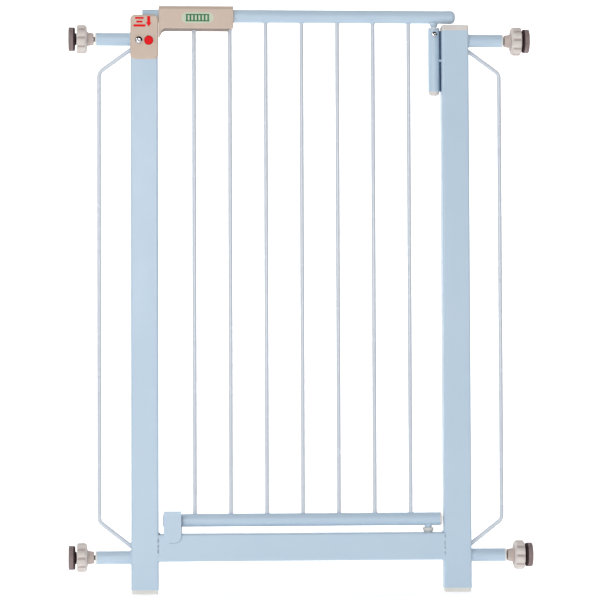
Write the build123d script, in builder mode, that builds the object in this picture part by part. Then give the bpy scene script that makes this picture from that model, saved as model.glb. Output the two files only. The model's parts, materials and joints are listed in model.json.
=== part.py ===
from build123d import *
import math
import os

# Pressure-mounted safety gate. Millimetres, X right, Y back, Z up, feet on Z = 0.

# Overall
passage = 418.0
post_top = 829.5

# Posts and crossbar
post_w = 40.0
post_d = 30.0
post_wall = 1.5
post_corner = 3.0
foot_h = 6.0
foot_inset = 0.8
foot_plug_h = 18.0
cap_h = 4.4
cap_low = 3.7
cross_low = 47.0
cross_h = 40.0
latch_post_drop = 7.5

# Round tube for the rails and arms
tube_r = 9.5
tube_wall = 1.5
rail_gap = 7.8
low_rail_gap = 10.0

# Arms and adjusters
arm_len = 50.0
arm_top_drop = 17.7
arm_low_z = 53.0
bush_flange = 2.0
bush_plug = 14.0
rod_r = 4.0
rod_inner_gap = 6.0
hub_gap = 0.5
hub_len = 10.1
hub_r1 = 9.0
hub_r2 = 10.5
knob_len = 16.2
knob_r = 21.5
lobe_count = 9
lobe_cut_r = 6.0
lobe_depth = 2.6
knob_edge = 2.0
pad_gap = 0.7
pad_len = 11.4
pad_r = 17.5
pad_neck_r = 10.0
pad_rim = 4.6
pad_dish = 3.0
plate_r = 8.0
plate_t = 2.0
adjust_travel = 25.0

# Guard rods
guard_r = 3.0
guard_out = 46.3
guard_bend = 12.0
guard_top_end = 15.0
guard_top_bend = 49.0
guard_low_end = 16.0
guard_low_bend = 52.5

# Leaf
bar_r = 3.0
bar_count = 7
bar_left = 53.0
bar_right = 48.2
rail_left_over = 23.0
rail_right_over = 10.2
rail_plug = 1.5
rail_cap_len = 11.1
rail_cap_bulge = 0.2
insert_len = 12.0
low_left_gap = 6.0
low_right_gap = 3.0
low_cap = 2.6
low_cap_hole = 3.2

# Upper hinge
hinge_in = 10.4
hinge_r = 8.4
hinge_wall = 1.5
hinge_len = 93.5
hinge_pin_r = 4.0
hinge_pin_thin = 3.0
hinge_pin_len = 59.0
hinge_pin_step = 17.5
hinge_bush_len = 12.0
hinge_bush_lip = 1.0
hinge_plug_len = 5.7
web_t = 4.0
web_back = 8.0
lug_h = 3.0
lug_drop = 49.0
hinge_screw_drop = 9.2
hinge_screw_head = 4.0
groove_w = 4.4
groove_d = 1.2
spring_r = 5.0
spring_wire = 0.5
spring_turns = 14
pin_clear = 0.4

# Lower pivot
pivot_in = 22.5
pivot_r = 4.0
pivot_bush_r = 8.0
pivot_bush_h = 7.0
pivot_plug_r = 6.0
pivot_plug_h = 7.0
pivot_collar_r = 5.5
pivot_lift = 0.6

# Catch bracket
flap_left = 7.0
flap_w = 25.9
flap_t = 2.5
flap_low = 12.5
flap_high = 27.0
flap_lip = 6.0
flap_flare = 2.6
flap_corner = 10.0
stop_gap = 0.4
bumper_w = 18.0
bumper_h = 14.0

# Latch housing
cover_t = 3.0
cover_h = 65.2
cover_over = 16.8
cover_corner = 7.0
cover_edge = 2.0
saddle_t = 5.0
shoulder_w = 14.0
plug_fit = 0.3
plug_depth = 40.0
button_in = 13.5
button_drop = 21.0
button_r = 6.5
button_proud = 1.5
button_len = 7.0
button_clear = 0.4
stem_r = 3.8
button_travel = 5.0
screw_out = 28.0
screw_r = 5.25
rim_w = 1.2
rim_h = 0.6

# Latch bolt and tongue
tongue_w = 13.0
tongue_t = 3.0
tongue_front = 2.0
tongue_gap = 1.3
bolt_w = 11.0
bolt_t = 6.0
bolt_gap = 0.6
bolt_sink = 0.5
slide_clear = 0.3
wedge_len = 12.0
wedge_low = 5.5
wedge_start = 3.5
coil_wire = 0.4
coil_turns = 4

# Handle
handle_left = 1.0
handle_len = 109.8
handle_top = 13.2
handle_low = 20.3
handle_d = 33.0
handle_wall = 2.2
leg_w = 2.6
leg_h = 9.5
leg_curve = 8.0
handle_corner = 5.0
handle_bevel = 5.0
handle_edge = 1.0
boss_in = 7.0
boss_up = 5.0
badge_w = 47.0
badge_h = 16.0
badge_t = 0.4
badge_off = 57.0

# Values that follow
half = passage / 2
post_x = half + post_w / 2
outer = half + post_w
cross_top = cross_low + cross_h
rail_z = post_top + rail_gap + tube_r
low_z = cross_top + low_rail_gap + tube_r
arm_high_z = post_top - arm_top_drop
arm_end = outer + arm_len
bush_end = arm_end + bush_flange
hub_start = bush_end + hub_gap
knob_start = hub_start + hub_len
knob_end = knob_start + knob_len
pad_start = knob_end + pad_gap
pad_face = pad_start + pad_len
rod_bore = rod_r + pin_clear
hinge_x = half - hinge_in
pivot_x = half - pivot_in
front = -post_d / 2
left_top = post_top - latch_post_drop
saddle_z = left_top + saddle_t
button_x = -half - button_in
button_z = post_top - button_drop
cover_front = front - cover_t
bar_pitch = (passage - bar_left - bar_right) / (bar_count - 1)
bar_x = [-half + bar_left + bar_pitch * i for i in range(bar_count)]

os.makedirs("parts", exist_ok=True)


def save(part, name):
    """Label a part and write its STEP file."""
    part.label = name
    export_step(part, "parts/" + name + ".step")


def box_tube(x, z0, z1):
    """Upright rectangular tube."""
    with BuildPart() as tube:
        with BuildSketch(Plane.XY.offset(z0)):
            with Locations((x, 0)):
                RectangleRounded(post_w, post_d, post_corner)
                inner = post_corner - post_wall
                wide = post_w - 2 * post_wall
                deep = post_d - 2 * post_wall
                RectangleRounded(wide, deep, inner, mode=Mode.SUBTRACT)
        extrude(amount=z1 - z0)
    return tube.part


def round_tube(x0, x1, z, r, wall):
    """Round tube along X."""
    with BuildPart() as tube:
        with BuildSketch(Plane(origin=(x0, 0, z), z_dir=(1, 0, 0))):
            Circle(r)
            Circle(r - wall, mode=Mode.SUBTRACT)
        extrude(amount=x1 - x0)
    return tube.part


def cyl_x(x0, x1, z, r, mode=Mode.ADD):
    """Solid cylinder along X at depth 0."""
    with Locations(((x0 + x1) / 2, 0, z)):
        Cylinder(r, abs(x1 - x0), rotation=(0, 90, 0), mode=mode)


def cyl_y(x, y0, y1, z, r, mode=Mode.ADD):
    """Solid cylinder along Y."""
    with Locations((x, (y0 + y1) / 2, z)):
        Cylinder(r, abs(y1 - y0), rotation=(90, 0, 0), mode=mode)


def cyl_z(x, y, z0, z1, r, mode=Mode.ADD):
    """Solid cylinder along Z."""
    with Locations((x, y, (z0 + z1) / 2)):
        Cylinder(r, abs(z1 - z0), mode=mode)


def block(x0, x1, y0, y1, z0, z1, mode=Mode.ADD):
    """Box between two corners."""
    with Locations(((x0 + x1) / 2, (y0 + y1) / 2, (z0 + z1) / 2)):
        Box(abs(x1 - x0), abs(y1 - y0), abs(z1 - z0), mode=mode)


# ---------------------------------------------------------------- posts and crossbar
with BuildPart() as left_post:
    add(box_tube(-post_x, foot_h, left_top))
    cyl_y(button_x, front - 1, front + post_wall + 1, button_z, button_r + 1.0, mode=Mode.SUBTRACT)
    cyl_y(-half - screw_out, front - 1, front + post_wall + 1, button_z, 2.6, mode=Mode.SUBTRACT)
save(left_post.part, "left_post")

with BuildPart() as right_post:
    add(box_tube(post_x, foot_h, post_top - cap_low))
save(right_post.part, "right_post")

with BuildPart() as bottom_crossbar:
    cross_mid = cross_low + cross_h / 2
    with BuildSketch(Plane(origin=(-half, 0, cross_mid), x_dir=(0, 1, 0), z_dir=(1, 0, 0))):
        RectangleRounded(post_d, cross_h, post_corner)
        deep = post_d - 2 * post_wall
        tall = cross_h - 2 * post_wall
        RectangleRounded(deep, tall, post_corner - post_wall, mode=Mode.SUBTRACT)
    extrude(amount=passage)
    cyl_z(pivot_x, 0, cross_top - post_wall - 1, cross_top + 1, pivot_plug_r, mode=Mode.SUBTRACT)
save(bottom_crossbar.part, "bottom_crossbar")


# Plastic plugs that close the posts' lower ends and stand on the floor.
plug_w = post_w - 2 * post_wall - 2 * plug_fit
plug_d = post_d - 2 * post_wall - 2 * plug_fit
with BuildPart() as foot_caps:
    with BuildSketch(Plane.XY):
        with Locations((-post_x, 0), (post_x, 0)):
            RectangleRounded(post_w - 2 * foot_inset, post_d - 2 * foot_inset, post_corner)
    extrude(amount=foot_h)
    with BuildSketch(Plane.XY.offset(foot_h)):
        with Locations((-post_x, 0), (post_x, 0)):
            RectangleRounded(plug_w, plug_d, post_corner - post_wall)
            Rectangle(plug_w - 5, plug_d - 5, mode=Mode.SUBTRACT)
    extrude(amount=foot_plug_h)
save(foot_caps.part, "foot_caps")

with BuildPart() as right_top_cap:
    with BuildSketch(Plane.XY.offset(post_top - cap_low)):
        with Locations((post_x, 0)):
            RectangleRounded(post_w, post_d, post_corner)
    extrude(amount=cap_low + cap_h)
    fillet(right_top_cap.edges().group_by(Axis.Z)[-1], 2.0)
    with BuildSketch(Plane.XY.offset(post_top - cap_low)):
        with Locations((post_x, 0)):
            RectangleRounded(plug_w, plug_d, post_corner - post_wall)
    extrude(amount=-foot_plug_h / 2)
save(right_top_cap.part, "right_top_cap")

# ---------------------------------------------------------------- arms and their bushes


def arm(side, z):
    """Stub tube that holds one adjuster."""
    x0 = outer if side > 0 else -arm_end
    return round_tube(x0, x0 + arm_len, z, tube_r, tube_wall)


# Plastic bushes in the arms' open ends, which guide the threaded rods.
with BuildPart() as arm_bushes:
    for side in (-1, 1):
        for z in (arm_high_z, arm_low_z):
            cyl_x(side * arm_end, side * bush_end, z, tube_r)
            cyl_x(side * (arm_end - bush_plug), side * arm_end, z, tube_r - tube_wall)
            bush_in = side * (arm_end - bush_plug - 1)
            cyl_x(bush_in, side * (bush_end + 1), z, rod_bore, mode=Mode.SUBTRACT)
save(arm_bushes.part, "arm_bushes")


def knob(side, z):
    """Lobed hand nut with a tapered hub."""
    with BuildPart() as nut:
        cyl_x(side * knob_start, side * knob_end, z, knob_r)
        chamfer(nut.edges(), knob_edge)
        with BuildSketch(Plane(origin=(side * knob_start, 0, z), z_dir=(side, 0, 0))) as notches:
            with PolarLocations(knob_r + lobe_cut_r - lobe_depth, lobe_count):
                Circle(lobe_cut_r)
        extrude(amount=knob_len, mode=Mode.SUBTRACT)
        with Locations((side * (hub_start + hub_len / 2), 0, z)):
            Cone(hub_r1, hub_r2, hub_len, rotation=(0, 90 * side, 0))
        cyl_x(side * (hub_start - 1), side * (knob_end + 1), z, rod_bore, mode=Mode.SUBTRACT)
    return nut.part


def threaded_rod(side, z):
    """Adjuster rod with the steel plate that carries the pad."""
    with BuildPart() as rod:
        cyl_x(side * (outer + rod_inner_gap), side * (pad_face - pad_rim), z, rod_r)
        plate = pad_face - pad_rim
        cyl_x(side * (plate - plate_t), side * plate, z, plate_r)
    return rod.part


def wall_pad(side, z):
    """Rubber pad, dished behind its rim, moulded over the rod's plate."""
    with BuildPart() as pad:
        with BuildSketch(Plane.XZ):
            with BuildLine():
                neck = pad_start
                rim = pad_face - pad_rim
                Polyline(
                    (neck, 0),
                    (neck, pad_neck_r - 1),
                    (neck + 1, pad_neck_r),
                    (rim - pad_dish, pad_neck_r),
                    (rim - pad_dish, pad_r - 1),
                    (rim - pad_dish + 1, pad_r),
                    (pad_face - 1.2, pad_r),
                    (pad_face, pad_r - 1.2),
                    (pad_face, 0),
                    close=True,
                )
            make_face()
        revolve(axis=Axis.X)
        cyl_x(neck - 1, rim, 0, rod_r, mode=Mode.SUBTRACT)
        cyl_x(rim - plate_t, rim, 0, plate_r, mode=Mode.SUBTRACT)
    turned = pad.part if side > 0 else pad.part.mirror(Plane.YZ)
    return turned.moved(Location((0, 0, z)))


for side_name, side in (("left", -1), ("right", 1)):
    for level_name, z in (("upper", arm_high_z), ("lower", arm_low_z)):
        where = side_name + "_" + level_name
        save(arm(side, z), where + "_arm")
        save(knob(side, z), where + "_knob")
        save(threaded_rod(side, z), where + "_rod")
        save(wall_pad(side, z), where + "_pad")

# ---------------------------------------------------------------- guard rods


def guard_rod(side):
    """Bent rod that closes the space beside a post."""
    x_in = side * outer
    x_out = side * (outer + guard_out)
    points = [
        (x_in, 0, arm_low_z + guard_low_end),
        (x_out, 0, arm_low_z + guard_low_bend),
        (x_out, 0, arm_high_z - guard_top_bend),
        (x_in, 0, arm_high_z - guard_top_end),
    ]
    with BuildPart() as rod:
        with BuildLine() as path:
            FilletPolyline(*points, radius=guard_bend)
        start = Plane(origin=path.line @ 0, z_dir=path.line % 0)
        with BuildSketch(start):
            Circle(guard_r)
        sweep()
        block(x_in - side * 6, x_in, -6, 6, 0, post_top, mode=Mode.SUBTRACT)
    return rod.part


save(guard_rod(-1), "left_guard_rod")
save(guard_rod(1), "right_guard_rod")

# ---------------------------------------------------------------- upper hinge on the post
hinge_low = post_top - hinge_len

with BuildPart() as hinge_tube:
    cyl_z(hinge_x, 0, hinge_low, post_top, hinge_r)
    cyl_z(hinge_x, 0, hinge_low - 1, post_top + 1, hinge_r - hinge_wall, mode=Mode.SUBTRACT)
    cyl_y(hinge_x, -hinge_r - 1, 0, post_top - hinge_screw_drop, 1.8, mode=Mode.SUBTRACT)
save(hinge_tube.part, "hinge_tube")

with BuildPart() as hinge_web:
    block(hinge_x, half, web_back - web_t, web_back, hinge_low + 2, post_top - cap_low - 1)
    lug_z = post_top - lug_drop
    block(hinge_x + 4, half, -web_t, web_back - web_t, lug_z, lug_z + lug_h)
    cyl_z(hinge_x, 0, hinge_low, post_top + 1, hinge_r, mode=Mode.SUBTRACT)
save(hinge_web.part, "hinge_web")

with BuildPart() as hinge_bush:
    cyl_z(hinge_x, 0, post_top - hinge_bush_len, post_top, hinge_r - hinge_wall)
    cyl_z(hinge_x, 0, post_top, post_top + hinge_bush_lip, hinge_r)
    bush_low = post_top - hinge_bush_len - 1
    bush_high = post_top + hinge_bush_lip + 1
    cyl_z(hinge_x, 0, bush_low, bush_high, hinge_pin_r + pin_clear, mode=Mode.SUBTRACT)
    cyl_y(hinge_x, -hinge_r, 0, post_top - hinge_screw_drop, 1.8, mode=Mode.SUBTRACT)
save(hinge_bush.part, "hinge_bush")

with BuildPart() as hinge_plug:
    cyl_z(hinge_x, 0, hinge_low - hinge_plug_len, hinge_low, hinge_r - 0.4)
    fillet(hinge_plug.edges().group_by(Axis.Z)[0], 4.5)
    cyl_z(hinge_x, 0, hinge_low, hinge_low + insert_len, hinge_r - hinge_wall)
save(hinge_plug.part, "hinge_plug")

with BuildPart() as hinge_screw:
    screw_z = post_top - hinge_screw_drop
    screw_y = -hinge_r - 0.2
    cyl_y(hinge_x, screw_y - 2.0, screw_y, screw_z, hinge_screw_head)
    fillet(hinge_screw.edges().group_by(Axis.Y)[0], 1.2)
    cyl_y(hinge_x, screw_y, -(hinge_pin_r - groove_d) - 0.5, screw_z, 1.75)
    block(hinge_x - 2.6, hinge_x + 2.6, screw_y - 2.1, screw_y - 1.2, screw_z - 0.4, screw_z + 0.4,
          mode=Mode.SUBTRACT)
    block(hinge_x - 0.4, hinge_x + 0.4, screw_y - 2.1, screw_y - 1.2, screw_z - 2.6, screw_z + 2.6,
          mode=Mode.SUBTRACT)
save(hinge_screw.part, "hinge_screw")

with BuildPart() as closing_spring:
    spring_high = post_top - hinge_bush_len - 1
    spring_low = spring_high - 2 * spring_wire * spring_turns
    cyl_z(hinge_x, 0, spring_low, spring_high, spring_r + spring_wire * 0.4)
    cyl_z(hinge_x, 0, spring_low, spring_high, spring_r - spring_wire * 0.4, mode=Mode.SUBTRACT)
    for i in range(spring_turns):
        with Locations((hinge_x, 0, spring_low + spring_wire * (2 * i + 1))):
            Torus(spring_r, spring_wire * 0.98)
save(closing_spring.part, "closing_spring")

# ---------------------------------------------------------------- lower pivot on the crossbar
with BuildPart() as pivot_bush:
    cyl_z(pivot_x, 0, cross_top - pivot_plug_h, cross_top, pivot_plug_r)
    cone_h = pivot_bush_h * 0.55
    with Locations((pivot_x, 0, cross_top + cone_h / 2)):
        Cone(pivot_plug_r, pivot_bush_r, cone_h)
    cyl_z(pivot_x, 0, cross_top + cone_h, cross_top + pivot_bush_h, pivot_bush_r)
    chamfer(pivot_bush.edges().group_by(Axis.Z)[-1], 0.7)
    bush_low = cross_top - pivot_plug_h - 1
    cyl_z(pivot_x, 0, bush_low, cross_top + pivot_bush_h + 1, pivot_r + pin_clear, mode=Mode.SUBTRACT)
save(pivot_bush.part, "pivot_bush")

# ---------------------------------------------------------------- catch bracket
with BuildPart() as catch_bracket:
    flap_x = -half + flap_left
    with BuildSketch(Plane(origin=(flap_x, 0, cross_top), x_dir=(0, 1, 0), z_dir=(1, 0, 0))):
        with BuildLine():
            Polyline(
                (front, -flap_low),
                (front - flap_t, -flap_low),
                (front - flap_t, flap_high),
                (front - flap_t - flap_flare, flap_high + flap_lip),
                (front - flap_flare, flap_high + flap_lip + 0.6),
                (front, flap_high + 0.6),
                close=True,
            )
        make_face()
    extrude(amount=flap_w)
    low_edges = catch_bracket.edges().filter_by(Axis.Y).group_by(Axis.Z)[0].sort_by(Axis.X)
    fillet(low_edges[-1], flap_corner)
save(catch_bracket.part, "catch_bracket")

# ---------------------------------------------------------------- latch housing on the left post
seat_y = cover_front - button_proud + button_len + 2 * coil_wire * coil_turns + 0.5
chamber_y = wedge_start - button_travel - 4.5
bolt_y0 = tongue_t - tongue_front + bolt_gap
bolt_y1 = bolt_y0 + bolt_t

with BuildPart() as latch_body:
    with BuildSketch(Plane.XY.offset(left_top - plug_depth)):
        with Locations((-post_x, 0)):
            RectangleRounded(plug_w, plug_d, post_corner - post_wall)
    extrude(amount=plug_depth)
    block(-outer, -half, front, post_d / 2, left_top, saddle_z)
    block(-outer, -outer + shoulder_w, front, post_d / 2, saddle_z, rail_z - 2)
    fillet(latch_body.edges().filter_by(Axis.Y).group_by(Axis.Z)[-1].sort_by(Axis.X)[0], 4.0)
    cyl_y(button_x, -plug_d, seat_y, button_z, button_r + 1.0, mode=Mode.SUBTRACT)
    cyl_y(button_x, seat_y - 1, chamber_y + 1, button_z, stem_r + button_clear, mode=Mode.SUBTRACT)
    room = bolt_w / 2 + slide_clear
    top_room = button_z - wedge_start + wedge_len + 2
    block(button_x - room, button_x + room, chamber_y, plug_d, button_z - wedge_low - 1.2, top_room,
          mode=Mode.SUBTRACT)
    block(button_x - room, button_x + room, bolt_y0 - slide_clear, bolt_y1 + slide_clear,
          button_z, saddle_z + 1, mode=Mode.SUBTRACT)
    cyl_y(-half - screw_out, -plug_d, 0, button_z, 1.9, mode=Mode.SUBTRACT)
save(latch_body.part, "latch_body")

with BuildPart() as latch_cover:
    cover_low = post_top + cover_over - cover_h
    cover_mid = cover_low + cover_h / 2
    with BuildSketch(Plane(origin=(-post_x, front, cover_mid), x_dir=(1, 0, 0), z_dir=(0, -1, 0))):
        RectangleRounded(post_w + 1, cover_h, cover_corner)
    extrude(amount=cover_t)
    chamfer(latch_cover.faces().sort_by(Axis.Y)[0].edges(), cover_edge)
    cyl_y(button_x, cover_front - rim_h, cover_front, button_z, button_r + button_clear + rim_w)
    cyl_y(-half - screw_out, cover_front - rim_h, cover_front, button_z, screw_r + rim_w)
    cyl_y(button_x, cover_front - 2, front + 1, button_z, button_r + button_clear, mode=Mode.SUBTRACT)
    cyl_y(-half - screw_out, cover_front - 2, cover_front + 0.4, button_z, screw_r + 0.2,
          mode=Mode.SUBTRACT)
    cyl_y(-half - screw_out, cover_front - 2, front + 1, button_z, 2.2, mode=Mode.SUBTRACT)
save(latch_cover.part, "latch_cover")

# Rubber bumpers that the closed leaf rests against, one behind each front stop.
with BuildPart() as stop_bumpers:
    bump_w = tongue_w + 4
    bump_top = rail_z - 1.5
    block(button_x - bump_w / 2, button_x + bump_w / 2, front, -tube_r - stop_gap, bump_top - 9, bump_top)
    bump_x = flap_x + (flap_w - bumper_w) / 2
    bump_z = low_z - bumper_h / 2
    block(bump_x, bump_x + bumper_w, front, -tube_r - stop_gap, bump_z, bump_z + bumper_h)
    chamfer(stop_bumpers.edges().group_by(Axis.Y)[-1], 0.8)
save(stop_bumpers.part, "stop_bumpers")

with BuildPart() as latch_cover_screw:
    screw_x = -half - screw_out
    cyl_y(screw_x, cover_front - 1.8, cover_front + 0.4, button_z, screw_r)
    fillet(latch_cover_screw.edges().group_by(Axis.Y)[0], 1.2)
    cyl_y(screw_x, cover_front + 0.4, -6, button_z, 1.9)
    for turn in (0, 90):
        with Locations(Location((screw_x, cover_front - 1.4, button_z), (0, turn, 0))):
            Box(6.0, 1.4, 1.0, mode=Mode.SUBTRACT)
save(latch_cover_screw.part, "latch_cover_screw")

with BuildPart() as latch_marks:
    mark_plane = Plane(origin=(0, cover_front, 0), x_dir=(1, 0, 0), z_dir=(0, -1, 0))
    with BuildSketch(mark_plane):
        arrow_z = post_top + 6.7
        with BuildLine():
            Polyline(
                (button_x - 2.2, arrow_z + 7.7),
                (button_x + 2.2, arrow_z + 7.7),
                (button_x + 2.2, arrow_z - 1.5),
                (button_x + 4.2, arrow_z - 1.5),
                (button_x, arrow_z - 7.7),
                (button_x - 4.2, arrow_z - 1.5),
                (button_x - 2.2, arrow_z - 1.5),
                close=True,
            )
        make_face()
        for rise, long, thick in ((11.6, 13.0, 2.7), (6.1, 9.5, 2.7), (0.5, 17.6, 3.3)):
            with Locations((-half - 27.1, post_top + rise)):
                RectangleRounded(long, thick, 1.0)
    extrude(amount=0.3)
save(latch_marks.part, "latch_marks")

with BuildPart() as button_spring:
    head_back = cover_front - button_proud + button_len
    coil_r = stem_r + 1.2
    coil_len = 2 * coil_wire * coil_turns
    cyl_y(button_x, head_back + 0.3, head_back + 0.3 + coil_len, button_z, coil_r + coil_wire * 0.4)
    cyl_y(button_x, head_back, head_back + 1 + coil_len, button_z, coil_r - coil_wire * 0.4,
          mode=Mode.SUBTRACT)
    for i in range(coil_turns):
        with Locations((button_x, head_back + 0.3 + coil_wire * (2 * i + 1), button_z)):
            Torus(coil_r, coil_wire * 0.98, rotation=(90, 0, 0))
save(button_spring.part, "button_spring")

# ---------------------------------------------------------------- button and bolt
wedge_y0 = wedge_start - 3.5
wedge_low_z = button_z - wedge_low
wedge_c = button_z - wedge_start
with BuildPart() as red_button:
    cyl_y(button_x, cover_front - button_proud, head_back, button_z, button_r)
    fillet(red_button.edges().group_by(Axis.Y)[0], 1.0)
    cyl_y(button_x, head_back, wedge_y0 + 1, button_z, stem_r)
    with BuildSketch(Plane(origin=(button_x - bolt_w / 2, 0, 0), x_dir=(0, 1, 0), z_dir=(1, 0, 0))):
        with BuildLine():
            Polyline(
                (wedge_y0, wedge_low_z),
                (wedge_y0 + wedge_len, wedge_low_z),
                (wedge_y0 + wedge_len, wedge_c + wedge_len),
                (wedge_y0, wedge_c),
                close=True,
            )
        make_face()
    extrude(amount=bolt_w)
save(red_button.part, "red_button")

with BuildPart() as latch_bolt:
    bolt_top = saddle_z - bolt_sink
    lift = wedge_c + 0.25
    with BuildSketch(Plane(origin=(button_x - bolt_w / 2, 0, 0), x_dir=(0, 1, 0), z_dir=(1, 0, 0))):
        with BuildLine():
            Polyline(
                (bolt_y0, lift + bolt_y0),
                (bolt_y1, lift + bolt_y1),
                (bolt_y1, bolt_top - 2.5),
                (bolt_y1 - 2.5, bolt_top),
                (bolt_y0, bolt_top),
                close=True,
            )
        make_face()
    extrude(amount=bolt_w)
save(latch_bolt.part, "latch_bolt")

# ---------------------------------------------------------------- leaf rails and bars
top_x0 = -half - rail_left_over + rail_plug
top_x1 = half + rail_right_over
save(round_tube(top_x0, top_x1, rail_z, tube_r, tube_wall), "top_rail")

with BuildPart() as top_rail_cap:
    cap_r = tube_r + rail_cap_bulge
    cyl_x(top_x1, top_x1 + rail_cap_len, rail_z, cap_r)
    fillet(top_rail_cap.edges().group_by(Axis.X)[-1], 6.5)
    cyl_x(top_x1 - insert_len, top_x1, rail_z, tube_r - tube_wall)
save(top_rail_cap.part, "top_rail_cap")

low_x0 = -half + low_left_gap + low_cap
low_x1 = half - low_right_gap - low_cap
save(round_tube(low_x0, low_x1, low_z, tube_r, tube_wall), "bottom_rail")



def rail_end(x, z, lip):
    """Plug with a rounded lip for a rail's left end."""
    with BuildPart() as plug:
        cyl_x(x - lip, x, z, tube_r)
        fillet(plug.edges().group_by(Axis.X)[0], lip * 0.8)
        cyl_x(x, x + insert_len, z, tube_r - tube_wall)
    return plug.part


with BuildPart() as rail_plugs:
    add(rail_end(top_x0, rail_z, rail_plug))
    add(rail_end(low_x0, low_z, low_cap))
save(rail_plugs.part, "rail_plugs")

with BuildPart() as bottom_rail_right_cap:
    cyl_x(low_x1, low_x1 + low_cap, low_z, tube_r)
    fillet(bottom_rail_right_cap.edges().group_by(Axis.X)[-1], 1.0)
    # The insert stops short of the pivot pin below it.
    cyl_x(low_x1 - insert_len / 2, low_x1, low_z, tube_r - tube_wall)
    cyl_x(low_x1 - insert_len, low_x1 + low_cap + 1, low_z, low_cap_hole, mode=Mode.SUBTRACT)
save(bottom_rail_right_cap.part, "bottom_rail_right_cap")

for i, x in enumerate(bar_x):
    with BuildPart() as bar:
        cyl_z(x, 0, low_z, rail_z, bar_r)
        cyl_x(x - 10, x + 10, low_z, tube_r, mode=Mode.SUBTRACT)
        cyl_x(x - 10, x + 10, rail_z, tube_r, mode=Mode.SUBTRACT)
    save(bar.part, "bar_" + str(i + 1))

with BuildPart() as hinge_pin:
    pin_low = post_top - hinge_pin_len
    cyl_z(hinge_x, 0, post_top - hinge_pin_step, rail_z, hinge_pin_r)
    cyl_z(hinge_x, 0, pin_low, post_top - hinge_pin_step, hinge_pin_thin)
    flare_h = rail_gap - hinge_bush_lip - pivot_lift
    with Locations((hinge_x, 0, rail_z - tube_r - flare_h / 2 + 1)):
        Cone(hinge_pin_r + 0.4, hinge_pin_r + 3.0, flare_h)
    chamfer(hinge_pin.edges().group_by(Axis.Z)[0], 1.0)
    cyl_x(hinge_x - 20, hinge_x + 20, rail_z, tube_r, mode=Mode.SUBTRACT)
    with Locations((hinge_x, 0, post_top - hinge_screw_drop)):
        Cylinder(hinge_pin_r + 1, groove_w, mode=Mode.SUBTRACT)
        Cylinder(hinge_pin_r - groove_d, groove_w)
save(hinge_pin.part, "hinge_pin")

with BuildPart() as pivot_pin:
    collar_z = cross_top + pivot_bush_h + pivot_lift
    cyl_z(pivot_x, 0, cross_top - pivot_plug_h + 2, low_z, pivot_r)
    chamfer(pivot_pin.edges().group_by(Axis.Z)[0], 1.0)
    cyl_z(pivot_x, 0, collar_z, low_z, pivot_collar_r)
    cyl_x(pivot_x - 20, pivot_x + 20, low_z, tube_r, mode=Mode.SUBTRACT)
save(pivot_pin.part, "pivot_pin")

with BuildPart() as latch_tongue:
    tongue_z = saddle_z + tongue_gap
    block(button_x - tongue_w / 2, button_x + tongue_w / 2, -tongue_front, tongue_t - tongue_front,
          tongue_z, rail_z)
    cyl_x(button_x - 20, button_x + 20, rail_z, tube_r, mode=Mode.SUBTRACT)
save(latch_tongue.part, "latch_tongue")

# ---------------------------------------------------------------- handle
hx0 = -half + handle_left
hx1 = hx0 + handle_len
hz1 = rail_z + handle_top
hz0 = rail_z - handle_low
screw_spots = [(hx0 + boss_in, hz0 + boss_up), (hx0 + 28, hz0 + boss_up), (hx1 - 33, hz0 + boss_up)]
rib_x = [hx0 + 14, (hx0 + hx1) / 2, hx1 - 14]


def handle_outline():
    """Front view of the handle, with the short tail that hangs beside the latch post."""
    with BuildSketch(Plane.XZ) as shape:
        with BuildLine():
            Polyline(
                (hx0, hz1),
                (hx1, hz1),
                (hx1, hz0),
                (hx0 + leg_w, hz0),
                (hx0 + leg_w, hz0 - leg_h),
                (hx0, hz0 - leg_h),
                close=True,
            )
        make_face()
        inner = shape.vertices().sort_by_distance((hx0 + leg_w, hz0, 0))[0]
        fillet(inner, leg_curve)
        right = shape.vertices().sort_by_distance((hx1, hz0, 0))[0]
        fillet(right, handle_corner)
    return shape.sketch


def handle_hollow():
    """Front view of the space inside the handle."""
    with BuildSketch(Plane.XZ) as shape:
        with Locations(((hx0 + hx1) / 2, (hz0 + hz1) / 2)):
            wide = handle_len - 2 * handle_wall
            tall = hz1 - hz0 - 2 * handle_wall
            RectangleRounded(wide, tall, handle_corner - handle_wall)
    return shape.sketch


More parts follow.
